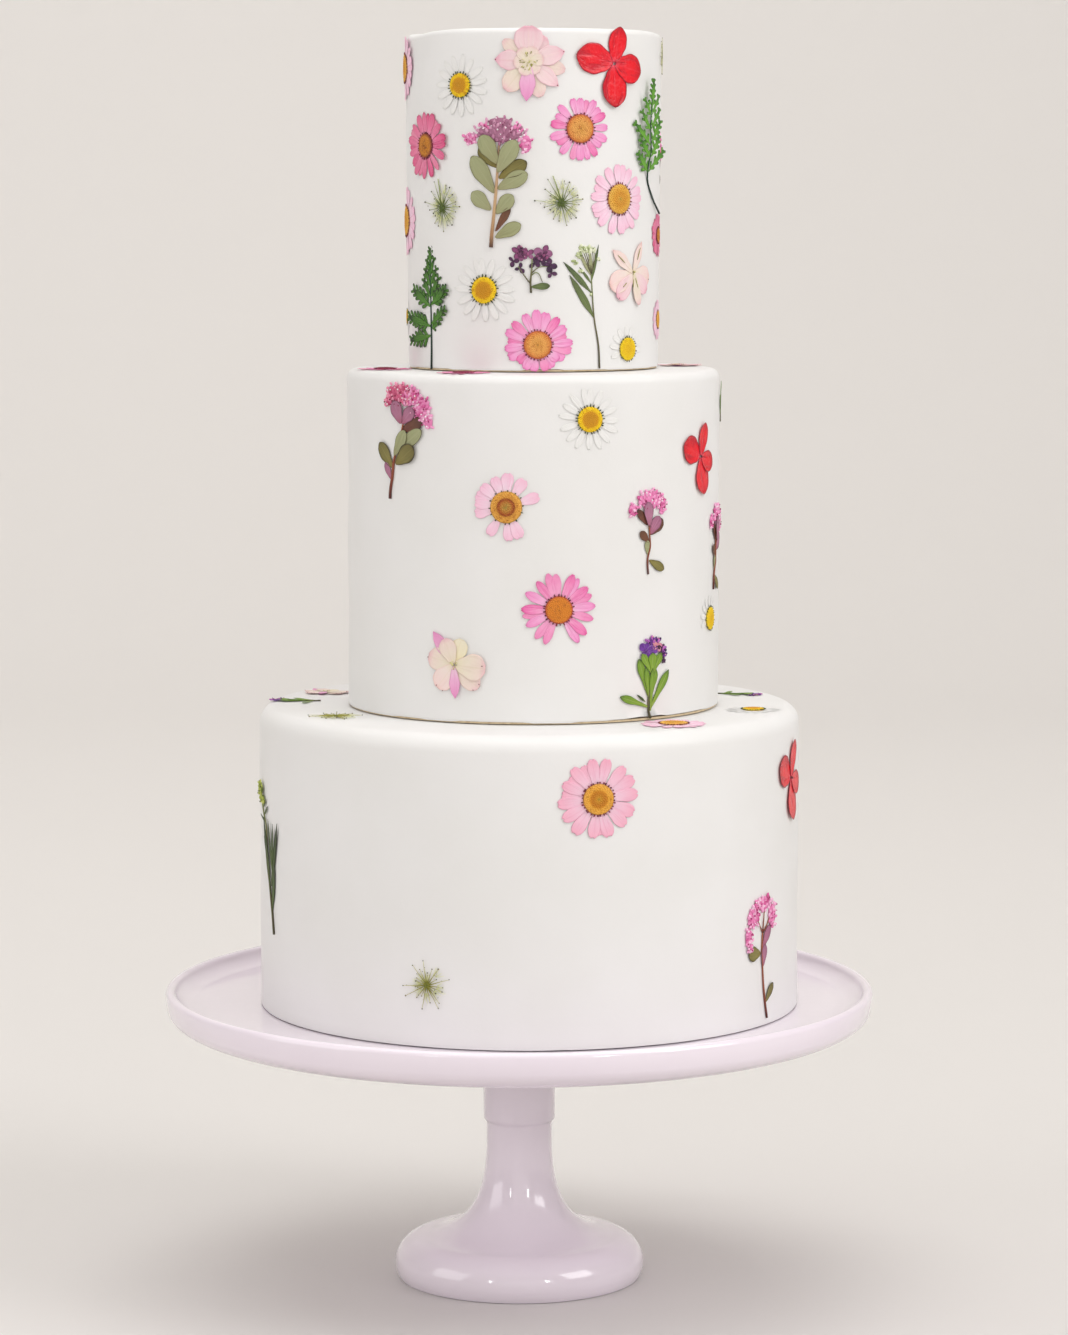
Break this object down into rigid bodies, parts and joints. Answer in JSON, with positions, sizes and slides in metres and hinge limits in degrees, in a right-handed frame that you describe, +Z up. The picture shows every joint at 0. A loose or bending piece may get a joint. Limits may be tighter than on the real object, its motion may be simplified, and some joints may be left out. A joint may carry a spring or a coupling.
{
  "type": "pressed flower cake",
  "caption": "Three-tier white cake covered with pressed edible flowers, standing on its footed pedestal stand.",
  "frame": {"origin": "middle of the stand's foot, on the table", "axes": "+Z up along the stand's column, -Y towards the viewer"},
  "size_m": [0.3012, 0.3012, 0.5283],
  "materials": {
    "icing": "smooth white rolled icing, satin",
    "card": "thin tan card, matt",
    "glaze": "pale pink lavender glazed ceramic, glossy",
    "pink_daisy": "dry pressed pink petals round an orange disc, matt",
    "pale_daisy": "dry pressed light pink petals round a golden disc, matt",
    "rose_daisy": "dry pressed rose petals round a brown orange disc, matt",
    "white_daisy": "dry pressed white petals round a yellow disc, matt",
    "larkspur": "dry pressed cream and pale pink petals, matt",
    "red_floret": "dry pressed crimson petals, matt",
    "umbel": "dry yellow green flower rays, matt",
    "stonecrop": "dry magenta flower head on a plum green sprig, matt",
    "fern": "dry dark green frond, matt",
    "narrow_sprig": "dry narrow green leaves, matt",
    "purple_sprig": "dry purple flower head over green leaves, matt",
    "dark_sprig": "dry dark purple flower cluster, matt",
    "leaf": "dry bright green leaf, matt"
  },
  "bodies": {
    "root": {"bottom_fern_01": "fern", "bottom_larkspur_01": "larkspur", "bottom_narrow_sprig_01": "narrow_sprig", "bottom_pale_daisy_01": "pale_daisy", "bottom_pale_daisy_02": "pale_daisy", "bottom_pink_daisy_01": "pink_daisy", "bottom_purple_sprig_01": "purple_sprig", "bottom_purple_sprig_02": "purple_sprig", "bottom_red_floret_01": "red_floret", "bottom_stonecrop_01": "stonecrop", "bottom_tier": "icing", "bottom_umbel_01": "umbel", "bottom_umbel_02": "umbel", "bottom_white_daisy_01": "white_daisy", "cake_stand": "glaze", "middle_board": "card", "middle_larkspur_01": "larkspur", "middle_larkspur_02": "larkspur", "middle_leaf_01": "leaf", "middle_pale_daisy_01": "pale_daisy", "middle_pale_daisy_02": "pale_daisy", "middle_pink_daisy_01": "pink_daisy", "middle_pink_daisy_02": "pink_daisy", "middle_pink_daisy_03": "pink_daisy", "middle_purple_sprig_01": "purple_sprig", "middle_red_floret_01": "red_floret", "middle_red_floret_02": "red_floret", "middle_stonecrop_01": "stonecrop", "middle_stonecrop_02": "stonecrop", "middle_stonecrop_03": "stonecrop", "middle_tier": "icing", "middle_white_daisy_01": "white_daisy", "middle_white_daisy_02": "white_daisy", "top_board": "card", "top_dark_sprig_01": "dark_sprig", "top_fern_01": "fern", "top_fern_02": "fern", "top_larkspur_01": "larkspur", "top_larkspur_02": "larkspur", "top_larkspur_03": "larkspur", "top_narrow_sprig_01": "narrow_sprig", "top_pale_daisy_01": "pale_daisy", "top_pale_daisy_02": "pale_daisy", "top_pale_daisy_03": "pale_daisy", "top_pink_daisy_01": "pink_daisy", "top_pink_daisy_02": "pink_daisy", "top_pink_daisy_03": "pink_daisy", "top_pink_daisy_04": "pink_daisy", "top_red_floret_01": "red_floret", "top_rose_daisy_01": "rose_daisy", "top_rose_daisy_02": "rose_daisy", "top_stonecrop_01": "stonecrop", "top_stonecrop_02": "stonecrop", "top_tier": "icing", "top_umbel_01": "umbel", "top_umbel_02": "umbel", "top_umbel_03": "umbel", "top_white_daisy_01": "white_daisy", "top_white_daisy_02": "white_daisy", "top_white_daisy_03": "white_daisy"}
  },
  "joints": []
}
